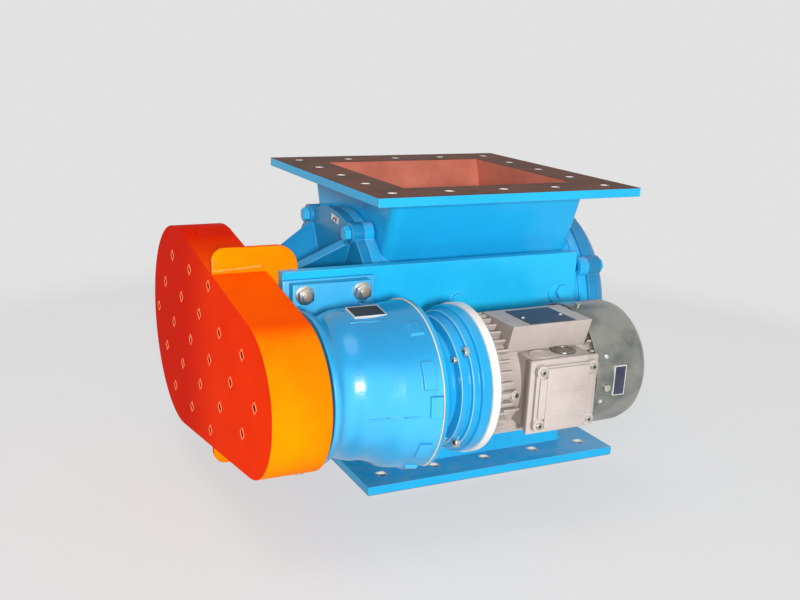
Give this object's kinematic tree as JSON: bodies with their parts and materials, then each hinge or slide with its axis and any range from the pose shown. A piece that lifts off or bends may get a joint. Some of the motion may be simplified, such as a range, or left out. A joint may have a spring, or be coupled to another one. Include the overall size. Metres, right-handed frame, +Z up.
{
  "type": "rotary airlock valve",
  "caption": "Rotary airlock valve with square flanges, a vaned rotor, a side mounted gear motor and a chain drive inside a perforated guard.",
  "frame": {"origin": "centre of the lower face of the outlet flange", "axes": "+X along the rotor axis towards the fan end, +Z up through the inlet, -Y towards the gear motor"},
  "size_m": [0.646, 0.6047, 0.4],
  "materials": {
    "blue_paint": "gloss enamel over casting",
    "orange_paint": "gloss enamel on sheet",
    "motor_grey": "die cast, silver lacquer",
    "cowl_grey": "dull pressed sheet",
    "zinc_screws": "zinc plated",
    "machined_steel": "turned",
    "cast_rotor": "machined casting",
    "laminations": "stacked sheet",
    "copper": "lacquered wire",
    "chain_steel": "oiled",
    "black_plastic": "moulded",
    "plate_dark": "bare plate",
    "plate_light": "bare plate"
  },
  "bodies": {
    "housing": {"valve_housing": "blue_paint", "drive_end_cover": "blue_paint", "outboard_cover": "blue_paint", "cover_screws": "blue_paint", "bearing_outer_rings": "machined_steel", "bearing_balls": "machined_steel", "bearing_caps": "blue_paint", "cap_screws": "blue_paint", "shaft_seals": "black_plastic", "drive_plate": "blue_paint", "drive_plate_screws": "blue_paint", "gear_case": "blue_paint", "foot_bolts": "zinc_screws", "gear_nameplate": "plate_dark", "motor_adapter": "blue_paint", "adapter_screws": "zinc_screws", "gear_bearings": "machined_steel", "motor_flange": "motor_grey", "stator_frame": "motor_grey", "stator_core": "laminations", "stator_windings": "copper", "motor_bearings": "machined_steel", "rear_shield": "motor_grey", "terminal_box": "motor_grey", "terminal_lid": "motor_grey", "lid_screws": "zinc_screws", "blanking_plugs": "black_plastic", "motor_nameplate": "plate_dark", "fan_cowl": "cowl_grey", "cowl_screws": "zinc_screws", "roller_chain": "chain_steel", "guard_cover": "orange_paint", "guard_back": "orange_paint", "guard_straps": "orange_paint", "guard_screws": "zinc_screws", "rotation_plate": "plate_light", "cowl_plate": "plate_dark"},
    "rotor": {"rotor_shaft": "machined_steel", "rotor_vanes": "cast_rotor", "bearing_inner_rings": "machined_steel", "driven_sprocket": "machined_steel", "driven_key": "machined_steel"},
    "output": {"output_shaft": "machined_steel", "output_wheel": "machined_steel", "drive_sprocket": "machined_steel"},
    "layshaft": {"layshaft": "machined_steel", "layshaft_wheel": "machined_steel"},
    "motor_rotor": {"motor_shaft": "machined_steel", "rotor_core": "laminations", "cooling_fan": "black_plastic"}
  },
  "joints": [
    {"name": "rotor_spin", "type": "hinge", "parent": "housing", "child": "rotor", "pos_m": [0, 0, 0.2], "axis": [1, 0, 0], "continuous": true, "deforming": ["roller_chain"]},
    {"name": "output_spin", "type": "hinge", "parent": "housing", "child": "output", "pos_m": [0, -0.29726, 0.194], "axis": [1, 0, 0], "continuous": true},
    {"name": "layshaft_spin", "type": "hinge", "parent": "housing", "child": "layshaft", "pos_m": [0, -0.29726, 0.144], "axis": [1, 0, 0], "continuous": true},
    {"name": "motor_spin", "type": "hinge", "parent": "housing", "child": "motor_rotor", "pos_m": [0, -0.29726, 0.194], "axis": [1, 0, 0], "continuous": true}
  ],
  "couplings": [
    {"joint": "output_spin", "follows": "rotor_spin", "ratio": 2.1111},
    {"joint": "layshaft_spin", "follows": "rotor_spin", "ratio": -7.2716},
    {"joint": "motor_spin", "follows": "rotor_spin", "ratio": 33.126}
  ]
}
